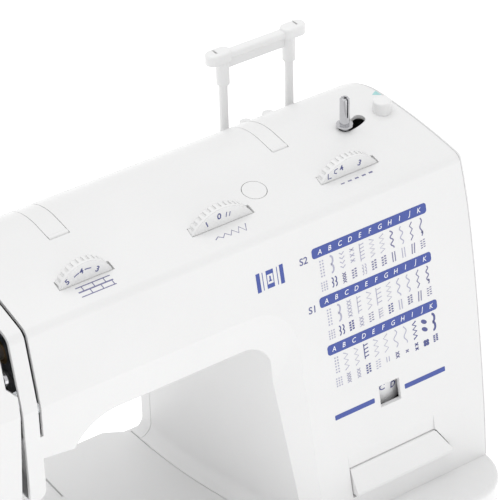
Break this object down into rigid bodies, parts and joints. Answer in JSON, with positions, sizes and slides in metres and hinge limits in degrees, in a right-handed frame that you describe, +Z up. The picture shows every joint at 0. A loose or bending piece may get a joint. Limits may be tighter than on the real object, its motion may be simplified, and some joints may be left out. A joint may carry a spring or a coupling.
{
  "type": "sewing machine",
  "caption": "Domestic free-arm sewing machine with thumb dials, printed stitch chart, reverse lever, bobbin winder, flush carrying handle and raised telescopic thread guide.",
  "frame": {"origin": "centre of the bounding box at the underside of the rubber feet", "axes": "+X from the needle end to the hand wheel, +Y from the front to the rear, +Z up"},
  "size_m": [0.364, 0.19, 0.322],
  "materials": {
    "shell_white": "glossy",
    "base_white": "glossy",
    "control_white": "satin",
    "grey_plastic": "matte",
    "black_plastic": "matte",
    "clear_plastic": "clear",
    "rubber_grey": "matte",
    "belt_rubber": "matte",
    "polished_steel": "polished",
    "brushed_steel": "brushed",
    "cast_metal": "cast",
    "bronze": "satin"
  },
  "bodies": {
    "machine": {"front_cover": "shell_white", "rear_cover": "shell_white", "right_cover": "shell_white", "face_cover": "shell_white", "bed_casing": "base_white", "free_arm_cover": "base_white", "base_plate": "grey_plastic", "rubber_feet": "rubber_grey", "needle_plate": "brushed_steel", "bobbin_case": "black_plastic", "drive_belts": "belt_rubber", "motor_housing": "cast_metal", "shaft_bushes": "bronze", "arm_frame": "cast_metal", "bed_frame": "cast_metal", "lamp": "clear_plastic", "tension_discs": "polished_steel", "cap_plug": "shell_white", "winder_stopper": "control_white", "power_inlet": "black_plastic", "cover_screws": "brushed_steel"},
    "table": {"extension_table": "base_white"},
    "bobbin_door": {"bobbin_cover": "clear_plastic"},
    "feed_carrier": {"feed_bar": "cast_metal"},
    "feed_teeth": {"feed_dog": "brushed_steel"},
    "hook_rotor": {"hook": "polished_steel"},
    "bobbin_reel": {"bobbin": "clear_plastic"},
    "lower_drive": {"lower_shaft": "brushed_steel", "bevel_gear": "brushed_steel", "lower_pulley": "black_plastic"},
    "upper_drive": {"main_shaft": "brushed_steel", "upper_pulley": "black_plastic", "crank": "cast_metal", "handwheel": "control_white"},
    "clutch": {"clutch_knob": "control_white"},
    "motor_rotor": {"motor_pulley": "brushed_steel"},
    "needle_frame": {"needle_bar_frame": "cast_metal"},
    "needle_unit": {"needle_bar": "polished_steel", "needle_clamp": "polished_steel", "needle": "polished_steel", "connecting_rod": "brushed_steel"},
    "take_up": {"take_up_lever": "polished_steel"},
    "presser_unit": {"presser_bar": "polished_steel", "presser_foot": "polished_steel"},
    "presser_lifter": {"presser_lever": "grey_plastic"},
    "tension_control": {"tension_dial": "control_white"},
    "width_control": {"width_dial": "control_white"},
    "length_control": {"length_dial": "control_white"},
    "drum": {"pattern_drum": "grey_plastic"},
    "selector": {"pattern_knob": "control_white"},
    "reverse_control": {"reverse_lever": "control_white"},
    "winder_link": {"winder_arm": "brushed_steel"},
    "winder_rotor": {"winder_spindle": "polished_steel"},
    "thread_guide": {"guide_rods": "control_white", "guide_bar": "control_white"},
    "left_pin": {"spool_pin_left": "control_white"},
    "right_pin": {"spool_pin_right": "control_white"},
    "handle": {"carrying_handle": "shell_white"},
    "switch": {"power_switch": "black_plastic"}
  },
  "joints": [
    {"name": "table_pull", "type": "slide", "parent": "machine", "child": "table", "axis": [-1, 0, 0], "range_m": [0, 0.11]},
    {"name": "bobbin_door_slide", "type": "slide", "parent": "machine", "child": "bobbin_door", "axis": [0, -1, 0], "range_m": [0, 0.038]},
    {"name": "feed_lift", "type": "slide", "parent": "machine", "child": "feed_carrier", "axis": [0, 0, 1], "range_m": [0, 0.0014]},
    {"name": "feed_advance", "type": "slide", "parent": "feed_carrier", "child": "feed_teeth", "axis": [0, 1, 0], "range_m": [-0.002, 0.002]},
    {"name": "hook_spin", "type": "hinge", "parent": "machine", "child": "hook_rotor", "pos_m": [-0.16, 0.009, 0.04], "axis": [0, 0, 1], "continuous": true},
    {"name": "bobbin_spin", "type": "hinge", "parent": "machine", "child": "bobbin_reel", "pos_m": [-0.16, 0.009, 0.06], "axis": [0, 0, 1], "continuous": true},
    {"name": "lower_shaft_spin", "type": "hinge", "parent": "machine", "child": "lower_drive", "pos_m": [0, 0.009, 0.032], "axis": [1, 0, 0], "continuous": true},
    {"name": "main_shaft_spin", "type": "hinge", "parent": "machine", "child": "upper_drive", "pos_m": [0, 0.026, 0.226], "axis": [1, 0, 0], "continuous": true},
    {"name": "clutch_turn", "type": "hinge", "parent": "upper_drive", "child": "clutch", "pos_m": [0.176, 0.026, 0.226], "axis": [1, 0, 0], "range_deg": [0, 90]},
    {"name": "motor_spin", "type": "hinge", "parent": "machine", "child": "motor_rotor", "pos_m": [0.12, 0.04, 0.11], "axis": [1, 0, 0], "continuous": true},
    {"name": "needle_swing", "type": "hinge", "parent": "machine", "child": "needle_frame", "pos_m": [-0.16, 0.026, 0.262], "axis": [0, 1, 0], "range_deg": [-1.2, 1.2]},
    {"name": "needle_stroke", "type": "slide", "parent": "needle_frame", "child": "needle_unit", "axis": [0, 0, 1], "range_m": [0, 0.032]},
    {"name": "take_up_swing", "type": "hinge", "parent": "machine", "child": "take_up", "pos_m": [-0.1508, 0.045, 0.24], "axis": [-1, 0, 0], "range_deg": [0, 40]},
    {"name": "presser_stroke", "type": "slide", "parent": "machine", "child": "presser_unit", "axis": [0, 0, 1], "range_m": [0, 0.007]},
    {"name": "presser_lift", "type": "hinge", "parent": "machine", "child": "presser_lifter", "pos_m": [-0.16, 0.077, 0.19], "axis": [1, 0, 0], "range_deg": [0, 55]},
    {"name": "tension_turn", "type": "hinge", "parent": "machine", "child": "tension_control", "pos_m": [-0.087, -0.002, 0.2695], "axis": [0, 1, 0], "range_deg": [-150, 120]},
    {"name": "width_turn", "type": "hinge", "parent": "machine", "child": "width_control", "pos_m": [0.00325, -0.002, 0.2627], "axis": [0, 1, 0], "range_deg": [0, 240]},
    {"name": "length_turn", "type": "hinge", "parent": "machine", "child": "length_control", "pos_m": [0.0919, -0.002, 0.2626], "axis": [0, 1, 0], "range_deg": [-30, 220]},
    {"name": "drum_spin", "type": "hinge", "parent": "machine", "child": "drum", "pos_m": [0.089, -0.012, 0.145], "axis": [0, 0, 1], "continuous": true},
    {"name": "selector_spin", "type": "hinge", "parent": "machine", "child": "selector", "pos_m": [0.14, -0.012, 0.116], "axis": [1, 0, 0], "continuous": true},
    {"name": "reverse_press", "type": "hinge", "parent": "machine", "child": "reverse_control", "pos_m": [0.09, -0.043, 0.112], "axis": [1, 0, 0], "range_deg": [0, 6], "stiffness_Nm_per_rad": 3, "springref_deg": -2.86},
    {"name": "winder_swing", "type": "hinge", "parent": "machine", "child": "winder_link", "pos_m": [0.1132, 0.06, 0.252], "axis": [0, 0, 1], "range_deg": [0, 24]},
    {"name": "winder_spin", "type": "hinge", "parent": "winder_link", "child": "winder_rotor", "pos_m": [0.1132, 0.0288, 0.28], "axis": [0, 0, 1], "continuous": true},
    {"name": "guide_raise", "type": "slide", "parent": "machine", "child": "thread_guide", "axis": [0, 0, 1], "range_m": [-0.036, 0]},
    {"name": "left_pin_raise", "type": "slide", "parent": "machine", "child": "left_pin", "axis": [0, 0, 1], "range_m": [0, 0.03]},
    {"name": "right_pin_raise", "type": "slide", "parent": "machine", "child": "right_pin", "axis": [0, 0, 1], "range_m": [0, 0.03]},
    {"name": "handle_lift", "type": "hinge", "parent": "machine", "child": "handle", "pos_m": [-0.007, 0.034, 0.2803], "axis": [1, 0, 0], "range_deg": [0, 90]},
    {"name": "switch_rock", "type": "hinge", "parent": "machine", "child": "switch", "pos_m": [0.148, 0.017, 0.03], "axis": [0, 1, 0], "range_deg": [-14, 0]}
  ],
  "couplings": [
    {"joint": "lower_shaft_spin", "follows": "main_shaft_spin", "ratio": 1},
    {"joint": "hook_spin", "follows": "main_shaft_spin", "ratio": -2},
    {"joint": "motor_spin", "follows": "main_shaft_spin", "ratio": 3.6667},
    {"joint": "selector_spin", "follows": "drum_spin", "ratio": -1},
    {"joint": "take_up_swing", "follows": "needle_stroke", "rad_per_m": 21.816},
    {"joint": "presser_lift", "follows": "presser_stroke", "rad_per_m": 137.08}
  ]
}
